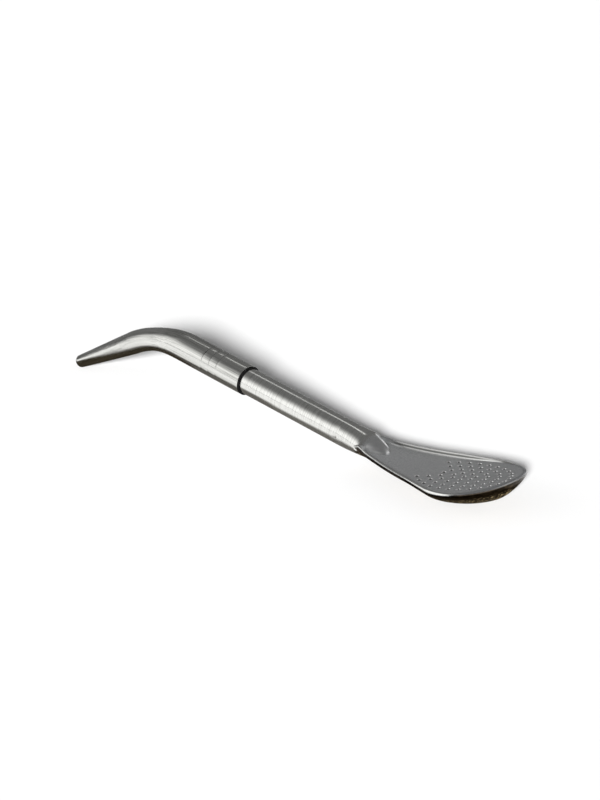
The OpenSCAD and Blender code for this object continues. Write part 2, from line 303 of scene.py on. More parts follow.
def flange_edge(mid, start, stop):
    """A quarter of the flange's rolled edge, round a centre at distance mid from the shoulder."""
    return [
        (SLEEVE_R - FLANGE_EDGE * (1 - math.cos(a)), mid + FLANGE_EDGE * math.sin(a))
        for a in spread(start, stop, FLANGE_STEPS)
    ]


def build_seal(material):
    """Flange with a rolled edge, and the bush inside the sleeve."""
    profile = [(BUSH_BORE_R, FLANGE_FROM)]
    profile += flange_edge(FLANGE_FROM + FLANGE_EDGE, -QUARTER, 0)
    profile += flange_edge(FLANGE_TO - FLANGE_EDGE, 0, QUARTER)
    profile += [(BUSH_R, FLANGE_TO)]
    profile += rounded((BUSH_R, BUSH_TO), (BUSH_R, FLANGE_TO), (BUSH_BORE_R, BUSH_TO), BUSH_EDGE)
    profile += [(BUSH_BORE_R, BUSH_TO)]
    points = turned([(r, -d) for r, d in profile])
    faces = ring_faces(len(profile), AROUND, True)
    return add_piece(
        "seal_ring", points, faces, "seal_bush", "seal", material, tube_grain(profile)
    )


# Side view of the spoon. The rim's height over the face: at the sides, more beside the nose, at the front
RIM_SIDE = 1.3
RIM_BY_NOSE = 0.35
RIM_FRONT = 0.0
RIM_FROM = 44.5
RIM_RUN = 4.0
RIM_FALL_FROM = 70.0
RIM_FALL_RUN = 24.0
HEM_SHARE = 0.42


def face_z(x):
    """Height of the face."""
    return 0.0 if x < FACE_X else FACE_R - math.sqrt(FACE_R**2 - (x - FACE_X) ** 2)


def ledge_z(x):
    """Height of the ledge under the plate."""
    if x < FACE_X:
        return -PLATE_T - BRAZE
    return FACE_R - math.sqrt((FACE_R + PLATE_T) ** 2 - (x - FACE_X) ** 2) - BRAZE


def rim_h(x):
    """Height of the rim over the face: it leaves the neck quickly, and runs out flush at the front."""
    level = RIM_SIDE + (RIM_FRONT - RIM_SIDE) * ease(x, RIM_FALL_FROM, RIM_FALL_RUN)
    beside_nose = RIM_BY_NOSE * (1 - ease(x, RIM_FROM + RIM_RUN, RIM_RUN))
    return ease(x, RIM_FROM, RIM_RUN) * (level + beside_nose)


def rim_z(x):
    """Height of the middle of the rim's round."""
    return face_z(x) + rim_h(x) - RIM_ROUND


def edge_z(x):
    """Height of the hem, where the rim meets the back."""
    return rim_z(x) - HEM_SHARE * (rim_h(x) + PLATE_T)


def upturn(x, low, to, high):
    """Level at low, then up from the keel's end in a quarter ellipse to high at x = to."""
    if x < KEEL_X:
        return low
    return high - (high - low) * math.sqrt(max(0, 1 - ((x - KEEL_X) / (to - KEEL_X)) ** 2))


# Plan of the rim: each station is (x, y, outward normal x, outward normal y)
BOWL_REACH = math.hypot(BOWL_X - FLARE_X, STEM_R)
FLANK_TURN = math.atan2(STEM_R, FLARE_X - BOWL_X) - math.acos(BOWL_R / BOWL_REACH)
FLANK_SLOPE = -math.cos(FLANK_TURN) / math.sin(FLANK_TURN)
FLANK_END = BOWL_X + BOWL_R * math.cos(FLANK_TURN)
TIP_STATION = (TIP_X, 0.0, 1.0, 0.0)
# Power of the front's curve, where 2 is a circle
BLUNT = 2.25
BLEND_STEPS = 14
FLANK_STEPS = 18
SIDE_STEPS = 10
FRONT_STEPS = 36


def rim_half(x):
    """Half the width of the spoon's rim along the neck and the flank."""
    if x > BLEND_TO:
        return STEM_R + FLANK_SLOPE * (x - FLARE_X)
    return STEM_R + FLANK_SLOPE * max(0.0, x - BLEND_FROM) ** 2 / (2 * FLARE_BLEND)


def flank_station(x):
    """A station on the neck's flare or the straight flank."""
    slope = FLANK_SLOPE * min(max(0.0, x - BLEND_FROM) / FLARE_BLEND, 1.0)
    n = math.hypot(1, slope)
    return (x, rim_half(x), -slope / n, 1 / n)


def side_station(a):
    """A station on the round side of the bowl."""
    return (BOWL_X + BOWL_R * math.cos(a), BOWL_R * math.sin(a), math.cos(a), math.sin(a))


def front_station(a):
    """A station on the bowl's front, a little blunter than a circle."""
    c = max(math.cos(a), 0.0)
    s = math.sin(a)
    normal = Vector((c ** (2 - 2 / BLUNT), s ** (2 - 2 / BLUNT))).normalized()
    return (BOWL_X + BOWL_R * c ** (2 / BLUNT), BOWL_R * s ** (2 / BLUNT), *normal)


def rim_stations():
    """Stations of one side, from the neck to just before the tip."""
    flank = [STEM_LEN] + spread(BLEND_FROM, BLEND_TO, BLEND_STEPS)
    flank += spread(BLEND_TO, FLANK_END, FLANK_STEPS)[1:-1]
    stations = [flank_station(x) for x in flank]
    stations += [side_station(a) for a in spread(FLANK_TURN, QUARTER, SIDE_STEPS)[:-1]]
    return stations + [front_station(a) for a in spread(QUARTER, 0, FRONT_STEPS)[:-1]]


def inset(s, d):
    """The point d inside a station."""
    return (s[0] - d * s[2], s[1] - d * s[3])


# Stem whose end closes onto the face in a blunt nose
STEM_BORE_R = 3.4
STEM_EDGE = 0.15
SPIGOT_R = 3.55
SPIGOT_BORE_R = 2.95
SPIGOT_LEN = 19.6
SPIGOT_EDGE = 0.2
SPIGOT_BORE_EDGE = 0.15
# The bore widens between these places past the shoulder, and ends blind this far before the neck
BORE_WIDENS = (0.6, 1.05)
BORE_SHORT = 1.0
TUBE_FROM = 1.0
NOSE_TIP = 55.8
# How the nose's crown and its sides close: from where, and the two powers of the curve
NOSE_CROWN = (47.6, 1.5, 0.62)
NOSE_SIDES = (48.6, 1.15, 0.55)
TIP_R = 0.4
TIP_RISE = 0.06
# Skin over the flaring neck: its thickness, and where it leaves the rim and is back on the tube
NECK_SKIN = 0.03
SKIN_TO = 47.2
SKIN_END = 50.0
# First step of the neck, and how far the neck and the nose sink into the face
NECK_STEP = 0.05
NECK_SINK = 0.4
NOSE_SINK = 0.02
# Solder at the nose's foot: height, flare, and the run in which it starts
SOLDER = 0.35
SOLDER_FLARE = 0.16
SOLDER_RUN = 1.5
# Satin finish of the nose: from where, and the run in which it starts
SATIN_NOSE = (48.4, 1.4)
TUBE_STEPS = 20
NECK_RINGS = 24
NOSE_RINGS = 48


def closing(x, start, power, root):
    """1 on the tube, falling to 0 at the nose's tip."""
    u = max(0.0, (x - start) / (NOSE_TIP - start))
    return max(0.0, 1 - u**power) ** root


def nose_ring(x):
    """A ring of the neck's skin or the nose, cut off at the face, with a fillet of solder at its foot."""
    skin = rim_half(min(x, SKIN_END)) + NECK_SKIN - STEM_R
    tube = STEM_R + skin * (1 - ease(x, SKIN_TO, SKIN_END - SKIN_TO))
    half = TIP_R + (tube - TIP_R) * closing(x, *NOSE_SIDES)
    low = face_z(NOSE_TIP) + TIP_RISE
    top = low + (STEM_R - low) * closing(x, *NOSE_CROWN)
    on_face = ease(x, NOSE_CROWN[0], SKIN_END - NOSE_CROWN[0])
    middle = max(0.0, face_z(x) - NOSE_SINK) * on_face
    floor = face_z(x) - (NECK_SINK if x <= SKIN_END else NOSE_SINK)
    flare = SOLDER_FLARE * ease(x, SKIN_END, SOLDER_RUN)
    ring = []
    for a in ANGLES:
        y = half * math.sin(a)
        z = max(middle + (top - middle) * math.cos(a), floor)
        foot = max(0.0, 1 - (z - floor) / SOLDER)
        ring.append((x, y + math.copysign(flare * foot * foot * min(1, abs(y)), y), z))
    return ring


def build_stem(material):
    """Spigot, shoulder, straight tube and nose; the bore ends blind before the neck."""
    spigot_end = (SPIGOT_R, -SPIGOT_LEN)
    profile = [(STEM_BORE_R, STEM_LEN - BORE_SHORT), (STEM_BORE_R, BORE_WIDENS[1])]
    profile += [(SPIGOT_BORE_R, BORE_WIDENS[0]), (SPIGOT_BORE_R, -SPIGOT_LEN + SPIGOT_BORE_EDGE)]
    profile += rounded(spigot_end, (SPIGOT_BORE_R, -SPIGOT_LEN), (SPIGOT_R, 0), SPIGOT_EDGE)
    profile += [(SPIGOT_R, 0)]
    profile += rounded((STEM_R, 0), (SPIGOT_R, 0), (STEM_R, STEM_LEN), STEM_EDGE)
    profile += [(STEM_R, x) for x in spread(TUBE_FROM, STEM_LEN - NECK_STEP, TUBE_STEPS)]
    start = NOSE_CROWN[0]
    nose = [start + (NOSE_TIP - start) * math.sin(t) for t in spread(0, QUARTER, NOSE_RINGS)[1:]]
    points = turned(profile)
    for x in spread(STEM_LEN, start, NECK_RINGS) + nose:
        points += nose_ring(x)
    faces = ring_faces(len(points) // AROUND, AROUND, False)
    faces += [tuple(range(AROUND)), tuple(range(len(points) - AROUND, len(points)))]
    grain = [(z, y, x) for x, y, z in points]
    satin = [ease(p[0], *SATIN_NOSE) for p in points]
    return add_piece(
        "stem_polished", points, faces, "stem_tube", "stem",
        material, grain, {"satin": satin},
    )


# Spoon's back with its rolled rim. Powers that draw its section toward straight sides, and their run
FLANK_DRAW = 1.76
BOWL_DRAW = 1.36
DRAW_RUN = 12.0
SHELL_WALL = 0.7
BELLY_STEPS = 40
RIM_ARC = [math.radians(a) for a in (0, 15, 30, 45, 60, 75, 90, 104, 112, 127, 136, 150, 165, 180)]
# The rim's inner slope: how far its foot goes under the face, and the power of its curve
RIM_FOOT = 0.05
RIM_SLOPE = 1.2
# Crease along the rim's inner side: where it lies on the arc, its depth, and where it begins and ends
CREASE_ARC = (math.radians(110), math.radians(130))
CREASE_DEPTH = 0.05
CREASE_FROM = 48.0
CREASE_TO = 76.0
CREASE_FADE = 8.0
# Painted dark on the back, standing for reflection and shade: its mark in the chamber, which is painted
# shade, what a painted highlight takes off it at one place of the rim, and more painted dark at the front
CHAMBER_SHADE = 3.0
# Painted highlight on the rim: how much, where, and over what run
HIGHLIGHT_REACH = 0.55
HIGHLIGHT_X = 83.0
HIGHLIGHT_RUN = 7.0
FRONT_PAINTED_DARK = 0.7
# Satin on the rim: up to a place beside the nose, and from a place at the front, softly along the arc
SATIN_TO = 49.0
SATIN_FRONT = 88.0
SATIN_FADE = 6.0
SATIN_ARC = 1.0
# Bright turned neck: where it starts to fade, and the run of that
NECK_BRIGHT = (44.5, 6.0)
# The table in the stem's frame: its fall along the stem, and its height at the shoulder
TABLE_SLOPE = ALONG.z / ALONG.x
TABLE_AT = -SHOULDER.z / MM / OUT.z


def on_table(x, z):
    """No point of the back lies under the table."""
    return max(z, TABLE_AT - x * TABLE_SLOPE)


def belly_top(x):
    """Height that the back's section is drawn from: the stem's middle at the neck, then the hem."""
    return edge_z(x) - edge_z(STEM_LEN) * (1 - ease(x, STEM_LEN, BLEND_TO - STEM_LEN))


def drawn(x):
    """How far the section at x is drawn from an ellipse toward straight sides."""
    side = (FLANK_DRAW - 1) * ease(x, STEM_LEN, DRAW_RUN)
    return 1 + side + (BOWL_DRAW - FLANK_DRAW) * ease(x, BOWL_X - BOWL_R, BOWL_R)


def belly_y(half, a, e):
    """Place across the spoon at angle a of a section drawn by e."""
    c = math.cos(a)
    return half * math.copysign(abs(c) ** e, c)


def outer_curve(s):
    """Section of the back, from hem to hem."""
    x = s[0]
    e = drawn(x)
    top = belly_top(x)
    deep = top - upturn(x, -STEM_R, TIP_X, edge_z(TIP_X))
    start = math.asin(max(0.0, (top - edge_z(x)) / deep) ** (1 / e))
    return [
        (x, belly_y(s[1], a, e), on_table(x, top - deep * math.sin(a) ** e))
        for a in spread(start, math.pi - start, BELLY_STEPS)
    ]


def inner_curve(s):
    """Section of the chamber, from ledge to ledge."""
    x, half = inset(s, RIM_W + LEDGE_W)
    e = drawn(s[0])
    top = ledge_z(x)
    deep = top - upturn(x, -STEM_R + SHELL_WALL, INNER_TIP, ledge_z(INNER_TIP))
    return [
        (x, -belly_y(half, a, e), top - deep * max(0.0, math.sin(a)) ** e)
        for a in spread(0, math.pi, BELLY_STEPS)
    ]


def crease(x, a):
    """1 in the crease at angle a of the rim's arc, 0 beside it and beyond its ends."""
    along = ease(x, CREASE_FROM, CREASE_FADE) * (1 - ease(x, CREASE_TO, CREASE_FADE))
    return along if CREASE_ARC[0] < a < CREASE_ARC[1] else 0.0


def rim_curve(s, side):
    """The rim, round outside and sloping inside, and the wall down to the ledge, from outside to inside."""
    curve = []
    for a in RIM_ARC:
        x, y = inset(s, RIM_W / 2 * (1 - math.cos(a)))
        drop = (rim_h(s[0]) + RIM_FOOT) * max(0.0, -math.cos(a)) ** RIM_SLOPE
        z = RIM_ROUND * math.sin(a) if a < QUARTER else RIM_ROUND - drop
        curve.append((x, side * y, rim_z(s[0]) + z - CREASE_DEPTH * crease(s[0], a)))
    x, y = inset(s, RIM_W)
    return curve + [(x, side * y, ledge_z(x))]


def painted_highlight(x):
    """How much the painted highlight takes off the painted dark at x, widening the rim's bright band."""
    return HIGHLIGHT_REACH * math.exp(-(((x - HIGHLIGHT_X) / HIGHLIGHT_RUN) ** 2))


def back_painted_dark(s):
    """Painted dark on the back at a station, for reflection and shade: the depth under the rim, less where
    the painted highlight is.
    """
    return [rim_z(s[0]) - p[2] - painted_highlight(s[0]) for p in outer_curve(s)]


def rim_painted_dark(s):
    """Painted dark along the rim's arc at a station: more at the front, less where the painted highlight
    is.
    """
    front = FRONT_PAINTED_DARK * ease(s[0], SATIN_FRONT, SATIN_FADE)
    painted_dark = [
        front * (1 - ease(a, 0, QUARTER)) - RIM_ROUND * math.sin(min(a, QUARTER)) - painted_highlight(s[0])
        for a in RIM_ARC
    ]
    return painted_dark + [-RIM_ROUND]


def rim_satin(s):
    """Satin along the rim's arc at a station."""
    by_nose = 1 - ease(s[0], SATIN_TO, SATIN_FADE)
    by_front = ease(s[0], SATIN_FRONT, SATIN_FADE)
    inner = max(by_nose, by_front)
    return [by_front * ease(a, 0, SATIN_ARC) if a < QUARTER else inner for a in RIM_ARC] + [inner]


def rim_crease(s):
    """Crease along the rim's arc at a station."""
    return [crease(s[0], a) for a in RIM_ARC] + [0.0]


def ring_marks(back, rim, chamber):
    """Marks of one ring of the spoon, in the order of its points."""
    return back + rim + chamber + rim[::-1]


def tip_faces(first, tip):
    """Faces from the last ring, which starts at first, to the tip's points: hem, rim and chamber."""
    rim = list(range(1, len(RIM_ARC) + 2))
    back = [0] * (BELLY_STEPS + 1)
    chamber = [len(rim) + 1] * (BELLY_STEPS + 1)
    closes_on = ring_marks(back, rim, chamber)
    faces = []
    for k, here in enumerate(closes_on):
        turn = (k + 1) % len(closes_on)
        there = closes_on[turn]
        face = [first + k, first + turn, tip + there]
        faces.append(tuple(face if here == there else face + [tip + here]))
    return faces


def build_spoon(material):
    """Rings of back, rim, chamber and rim along the spoon, closed at the neck and the tip."""
    stations = rim_stations()
    bare = [0.0] * (BELLY_STEPS + 1)
    chamber = [CHAMBER_SHADE] * (BELLY_STEPS + 1)
    points, below, satin, creased = [], [], [], []
    for s in stations:
        points += outer_curve(s) + rim_curve(s, -1) + inner_curve(s) + rim_curve(s, 1)[::-1]
        below += ring_marks(back_painted_dark(s), rim_painted_dark(s), chamber)
        satin += ring_marks(bare, rim_satin(s), bare)
        creased += ring_marks(bare, rim_crease(s), bare)
    tip = len(points)
    around = tip // len(stations)
    faces = ring_faces(len(stations), around, False)
    faces += [tuple(range(around))] + tip_faces(tip - around, tip)
    points += [(TIP_X, 0, edge_z(TIP_X))] + rim_curve(TIP_STATION, 1)
    points += [(INNER_TIP, 0, ledge_z(INNER_TIP))]
    below += [rim_z(TIP_X) - edge_z(TIP_X)] + rim_painted_dark(stations[-1]) + [CHAMBER_SHADE]
    satin += [0.0] + rim_satin(stations[-1]) + [0.0]
    creased += [0.0] * (len(points) - tip)
    neck = [1 - ease(p[0], *NECK_BRIGHT) for p in points]
    return add_piece(
        "spoon_back", points, faces, "spoon_shell", "stem", material, points,
        {"below": below, "neck": neck, "satin": satin, "crease": creased},
    )


# Perforated face: triangulated flat, with rings round each hole, then bent.
# Holes: radius, number of rings, holes in the first, gap toward the neck in degrees, stretch of the
# rings along the spoon, and how far the outermost lie from the bowl's sides and front
HOLE_R = 0.575
RING_COUNT = 4
RING_HOLES = 7
RING_GAP = 31.0
RING_STRETCH = 1.37
HOLE_FROM_SIDE = 4.3
HOLE_FROM_FRONT = 2.1
HOLE_POINTS = 24
# Each ring of a hole's edge: share of the radius, then depth, painted shade, and polish that is partly a
# painted highlight
HOLE_RINGS = [
    (1.0, (0.31, 1.0, 0.0)),
    (1.015, (0.27, 0.2, 1.0)),
    (1.09, (0.12, 0.0, 1.0)),
    (1.18, (0.04, 0.0, 1.0)),
    (1.3, (0.01, 0.0, 0.3)),
    (1.5, (0.0, 0.0, 0.0)),
]
PLAIN_SHEET = (0.0, 0.0, 0.0)
# Points that fill the sheet: pitch, distance from its ends, sides and holes, and margins to its outline
FILL_PITCH = 1.1
FILL_END = 0.6
FILL_SIDE = 0.7
FILL_CLEAR = 0.3
FILL_MARGIN = 0.5
FILL_SPREAD = 1.04
# A triangle whose middle lies within this share of a hole's radius is in the hole
IN_HOLE = 0.99
MERGE = 1e-6


def arc_of(x):
    """Distance along the bent face at x."""
    return FACE_R * math.asin((x - FACE_X) / FACE_R)


def bent(p, depth):
    """A flat point of the sheet, at a depth under the bent face."""
    a = p[0] / FACE_R
    r = FACE_R + depth
    return (FACE_X + r * math.sin(a), p[1], FACE_R - r * math.cos(a))


def hole_spots():
    """Middles of the holes on the flat sheet: one, and rings round it; the outer rings gap to the neck."""
    step_y = (BOWL_R - HOLE_FROM_SIDE) / RING_COUNT
    step_x = step_y * RING_STRETCH
    middle = arc_of(TIP_X - HOLE_FROM_FRONT - RING_COUNT * step_x)
    spots = [(middle, 0.0)]
    for k in range(1, RING_COUNT + 1):
        for i in range(k * RING_HOLES):
            a = 180 - 360 * i / (k * RING_HOLES)
            if k <= RING_COUNT / 2 or abs(a) < 180 - RING_GAP:
                turn = math.radians(a)
                spots.append((middle + k * step_x * math.cos(turn), k * step_y * math.sin(turn)))
    return spots


def face_outline():
    """Outline of the flat sheet, inside the rim."""
    side = [inset(s, RIM_W + PLATE_GAP) for s in rim_stations()]
    outline = side + [inset(TIP_STATION, RIM_W + PLATE_GAP)] + [(x, -y) for x, y in reversed(side)]
    return [(arc_of(x), y) for x, y in outline]


def inside(outline, p):
    """Whether a flat point lies within a closed outline."""
    hit = False
    for (ax, ay), (bx, by) in zip(outline, outline[1:] + outline[:1]):
        if (ay > p[1]) != (by > p[1]) and p[0] < ax + (bx - ax) * (p[1] - ay) / (by - ay):
            hit = not hit
    return hit


def near_hole(p, spots, reach):
    """Whether a flat point lies within reach of a hole's middle."""
    return any(math.hypot(p[0] - u, p[1] - y) <= reach for u, y in spots)


def fill_points(outline, spots):
    """Points that fill the flat sheet between the holes."""
    low = min(p[0] for p in outline)
    high = max(p[0] for p in outline)
    reach = BOWL_R - RIM_W - FILL_SIDE
    clear = HOLE_R * HOLE_RINGS[-1][0] + FILL_CLEAR
    fill = []
    for u in spread(low + FILL_END, high - FILL_END, int((high - low) / FILL_PITCH)):
        for y in spread(-reach, reach, int(2 * reach / FILL_PITCH)):
            ends = [(u - FILL_MARGIN, y * FILL_SPREAD), (u + FILL_MARGIN, y * FILL_SPREAD)]
            if all(inside(outline, p) for p in ends) and not near_hole((u, y), spots, clear):
                fill.append((u, y))
    return fill


def hole_edge(u, y, r):
    """A circle of points on the flat sheet."""
    angles = [2 * math.pi * k / HOLE_POINTS for k in range(HOLE_POINTS)]
    return [(u + r * math.cos(a), y + r * math.sin(a)) for a in angles]


def flat_sheet(outline, spots):
    """Points, triangles and marks of the flat sheet."""
    loops = [(outline, PLAIN_SHEET)]
    for u, y in spots:
        loops += [(hole_edge(u, y, HOLE_R * grow), mark) for grow, mark in HOLE_RINGS]
    flat, edges, marks = [], [], []
    for loop, mark in loops:
        edges += [(len(flat) + k, len(flat) + (k + 1) % len(loop)) for k in range(len(loop))]
        flat += loop
        marks += [mark] * len(loop)
    fill = fill_points(outline, spots)
    marks += [PLAIN_SHEET] * len(fill)
    made = delaunay_2d_cdt([Vector(p) for p in flat + fill], edges, [], 0, MERGE)
    points, triangles, sources = made[0], made[2], made[3]
    kept = []
    for t in triangles:
        mid = sum((points[i] for i in t), Vector((0, 0))) / 3
        if inside(outline, mid) and not near_hole(mid, spots, HOLE_R * IN_HOLE):
            kept.append(tuple(t))
    return points, kept, [marks[ids[0]] if ids else PLAIN_SHEET for ids in sources]


def build_face(material):
    """The flat sheet bent to the face, its underside, and the walls of its outline and holes."""
    flat, triangles, marks = flat_sheet(face_outline(), hole_spots())
    points = [bent(p, depth) for p, (depth, _, _) in zip(flat, marks)]
    points += [bent(p, PLATE_T) for p in flat]
    under = len(flat)
    faces = triangles + [tuple(i + under for i in reversed(t)) for t in triangles]
    sides = {(a, b): True for t in triangles for a, b in zip(t, t[1:] + t[:1])}
    faces += [(b, a, a + under, b + under) for a, b in sides if (b, a) not in sides]
    painted_dark = [m[1] for m in marks]
    polish_and_glint = [m[2] for m in marks]
    return add_piece(
        "filter_face", points, faces, "filter_plate", "stem", material, points,
        {"painted_dark": painted_dark + painted_dark, "polish_and_glint": polish_and_glint + polish_and_glint},
    )


# Material nodes


def new_material(name):
    material = bpy.data.materials.new(name)
    material.use_nodes = True
    tree = material.node_tree
    return material, tree, tree.nodes["Principled BSDF"]


def add_node(tree, kind, values=None, **settings):
    node = tree.nodes.new(kind)
    for key, value in settings.items():
        setattr(node, key, value)
    for key, value in (values or {}).items():
        node.inputs[key].default_value = value
    return node


def mark_of(tree, name):
    """The value that the mesh's points carry under a name."""
    return add_node(tree, "ShaderNodeAttribute", attribute_name=name).outputs["Fac"]


def grain_noise(tree, stretch, detail, roughness):
    """Noise in the piece's own millimetres, stretched; returns its factor socket."""
    grain = add_node(tree, "ShaderNodeAttribute", attribute_name="grain")
    mapping = add_node(tree, "ShaderNodeMapping", {"Scale": stretch})
    values = {"Scale": 1.0, "Detail": detail, "Roughness": roughness}
    noise = add_node(tree, "ShaderNodeTexNoise", values)
    tree.links.new(grain.outputs["Vector"], mapping.inputs["Vector"])
    tree.links.new(mapping.outputs["Vector"], noise.inputs["Vector"])
    return noise.outputs["Fac"]


def ranged(tree, socket, low, high, from_low=0.0, from_high=1.0):
    """The socket's value carried from one range to another."""
    values = {"From Min": from_low, "From Max": from_high, "To Min": low, "To Max": high}
    node = add_node(tree, "ShaderNodeMapRange", values)
    tree.links.new(socket, node.inputs["Value"])
    return node.outputs["Result"]


def stepped(tree, socket, start, stop):
    """0 below start, 1 above stop, smooth between."""
    values = {"From Min": start, "From Max": stop}
    node = add_node(tree, "ShaderNodeMapRange", values, interpolation_type="SMOOTHSTEP")
    tree.links.new(socket, node.inputs["Value"])
    return node.outputs["Result"]


def maths(tree, operation, a, b):
    """Two values, each a socket or a number, put together."""
    node = add_node(tree, "ShaderNodeMath", operation=operation)
    for socket, value in zip(node.inputs, (a, b)):
        if isinstance(value, (int, float)):
            socket.default_value = value
        else:
            tree.links.new(value, socket)
    return node.outputs["Value"]


def facing(tree, direction, vector):
    """How far a vector points in a direction."""
    node = add_node(tree, "ShaderNodeVectorMath", {1: direction}, operation="DOT_PRODUCT")
    tree.links.new(vector, node.inputs[0])
    return node.outputs["Value"]


def ramp(tree, socket, stops):
    """Colour by value; stops are (position, colour)."""
    node = add_node(tree, "ShaderNodeValToRGB")
    elements = node.color_ramp.elements
    while len(elements) < len(stops):
        elements.new(0.5)
    for element, (position, colour) in zip(elements, stops):
        element.position = position
        element.color = (*colour, 1)
    tree.links.new(socket, node.inputs["Fac"])
    return node.outputs["Color"]


def mixed(tree, factor, a, b):
    """Two colours mixed; each is a socket or a colour."""
    node = add_node(tree, "ShaderNodeMix", data_type="RGBA")
    tree.links.new(factor, node.inputs["Factor"])
    for socket, value in zip((node.inputs[6], node.inputs[7]), (a, b)):
        if isinstance(value, tuple):
            socket.default_value = (*value, 1)
        else:
            tree.links.new(value, socket)
    return node.outputs[2]


def bump(tree, bsdf, height, strength, distance):
    """Fine relief of a surface from a height."""
    node = add_node(tree, "ShaderNodeBump", {"Strength": strength, "Distance": distance})
    tree.links.new(height, node.inputs["Height"])
    tree.links.new(node.outputs["Normal"], bsdf.inputs["Normal"])


# Materials. Tones are (place in the noise's range, colour)
DRAWN_TONES = [(0.36, (0.34, 0.34, 0.32)), (0.5, (0.72, 0.72, 0.69)), (0.64, (0.9, 0.9, 0.87))]
TURNED_TONES = [(0.3, (0.55, 0.55, 0.52)), (0.5, (0.83, 0.83, 0.8)), (0.72, (0.93, 0.93, 0.9))]
SATIN_TONES = [(0.3, (0.86, 0.87, 0.87)), (0.7, (0.97, 0.97, 0.97))]
RUBBER_TONES = [(0.35, (0.002, 0.002, 0.002)), (0.75, (0.009, 0.009, 0.009))]
FACE_TONES = [(0.36, (0.6, 0.61, 0.62)), (0.64, (0.92, 0.93, 0.93))]
RIM_TONES = [(0.3, (0.88, 0.88, 0.86)), (0.7, (0.98, 0.98, 0.96))]
# Painted dark brown reflection on the spoon's back
PAINTED_BROWN_TONES = [(0.3, (0.03, 0.022, 0.014)), (0.5, (0.1, 0.07, 0.04)), (0.72, (0.24, 0.17, 0.1))]
# Painted shade in the engraved lines
LINE_SHADE_COLOUR = (0.02, 0.02, 0.018)
FACE_TINT = (0.76, 0.76, 0.77)
# Polished hole edges, brighter partly as a painted highlight, and painted shade in the holes
POLISHED_GLINT = (0.95, 0.95, 0.94)
HOLE_SHADE = (0.012, 0.01, 0.008)
# Painted gold glints and painted black shade on the spoon's back
PAINTED_GOLD_GLINT = (0.72, 0.56, 0.3)
PAINTED_BLACK = (0.008, 0.007, 0.006)
RIM_SATIN = (0.7, 0.71, 0.72)
# Painted shade in the rim's crease
CREASE_SHADE = (0.26, 0.26, 0.25)
# The range that most of a noise's values lie in
NOISE = (0.3, 0.7)
TUBE_RELIEF = 0.04 * MM
SHEET_RELIEF = 0.05 * MM


def drawing_lines(tree, streak, fine):
    """Factor of the lines that drawing or turning leaves; streak and fine are their stretches."""
    lines = maths(tree, "MULTIPLY", grain_noise(tree, streak, 5.0, 0.65), 0.6)
    hair = maths(tree, "MULTIPLY", grain_noise(tree, fine, 3.0, 0.7), 0.4)
    return maths(tree, "ADD", lines, hair)


def tube_steel(name, streak, fine, tones, relief):
    """Polished steel with drawing lines and smudges; painted shade in the engraved lines, and satin, where
    the mesh is marked for them.
    """
    material, tree, bsdf = new_material(name)
    bsdf.inputs["Metallic"].default_value = 1.0
    lines = drawing_lines(tree, streak, fine)
    smudge = grain_noise(tree, (0.16, 0.16, 0.1), 3.0, 0.55)
    speck = grain_noise(tree, (0.5, 0.5, 0.5), 2.0, 0.5)
    satin = mark_of(tree, "satin")
    # Painted shade in the engraved lines, broken up by noise; it also dulls them
    groove_shade = maths(tree, "MULTIPLY", mark_of(tree, "groove_shade"), ranged(tree, speck, 0.2, 1.0, 0.4, 0.6))
    steel = mixed(tree, satin, ramp(tree, lines, tones), ramp(tree, speck, SATIN_TONES))
    tree.links.new(mixed(tree, groove_shade, steel, LINE_SHADE_COLOUR), bsdf.inputs["Base Color"])
    polish = ranged(tree, lines, 0.1, 0.2, *NOISE)
    rough = maths(tree, "ADD", polish, ranged(tree, smudge, -0.03, 0.07, *NOISE))
    dull = maths(tree, "ADD", ranged(tree, groove_shade, 0.0, 0.5), ranged(tree, satin, 0.0, 0.16))
    tree.links.new(maths(tree, "ADD", rough, dull), bsdf.inputs["Roughness"])
    bump(tree, bsdf, lines, relief, TUBE_RELIEF)
    return material


def rubber():
    """Black rubber with a moulded skin and a little dust."""
    material, tree, bsdf = new_material("black_rubber")
    skin = grain_noise(tree, (3.0, 3.0, 3.0), 4.0, 0.6)
    dust = grain_noise(tree, (0.9, 0.9, 0.9), 3.0, 0.5)
    tree.links.new(ramp(tree, dust, RUBBER_TONES), bsdf.inputs["Base Color"])
    tree.links.new(ranged(tree, skin, 0.5, 0.75, *NOISE), bsdf.inputs["Roughness"])
    bsdf.inputs["Specular IOR Level"].default_value = 0.04
    bump(tree, bsdf, skin, 0.3, SHEET_RELIEF)
    return material


def face_steel():
    """Satin sheet; the holes' walls carry painted shade, and their edges are polished and brightened as a
    painted highlight.
    """
    material, tree, bsdf = new_material("satin_face")
    fine = grain_noise(tree, (2.2, 2.2, 2.2), 5.0, 0.7)
    broad = grain_noise(tree, (0.13, 0.2, 0.2), 3.0, 0.5)
    polish_and_glint = mark_of(tree, "polish_and_glint")
    tint = ranged(tree, broad, 0.0, 0.5, 0.35, 0.7)
    sheet = mixed(tree, tint, ramp(tree, fine, FACE_TONES), FACE_TINT)
    # Polished edges with a painted highlight, and painted shade in the holes
    edged = mixed(tree, polish_and_glint, sheet, POLISHED_GLINT)
    tree.links.new(mixed(tree, mark_of(tree, "painted_dark"), edged, HOLE_SHADE), bsdf.inputs["Base Color"])
    tree.links.new(ranged(tree, polish_and_glint, 0.91, 1.0), bsdf.inputs["Metallic"])
    rough = ranged(tree, fine, 0.3, 0.42, *NOISE)
    polish = ranged(tree, polish_and_glint, 0.0, 0.2)
    tree.links.new(maths(tree, "SUBTRACT", rough, polish), bsdf.inputs["Roughness"])
    bump(tree, bsdf, fine, 0.12, SHEET_RELIEF)
    return material


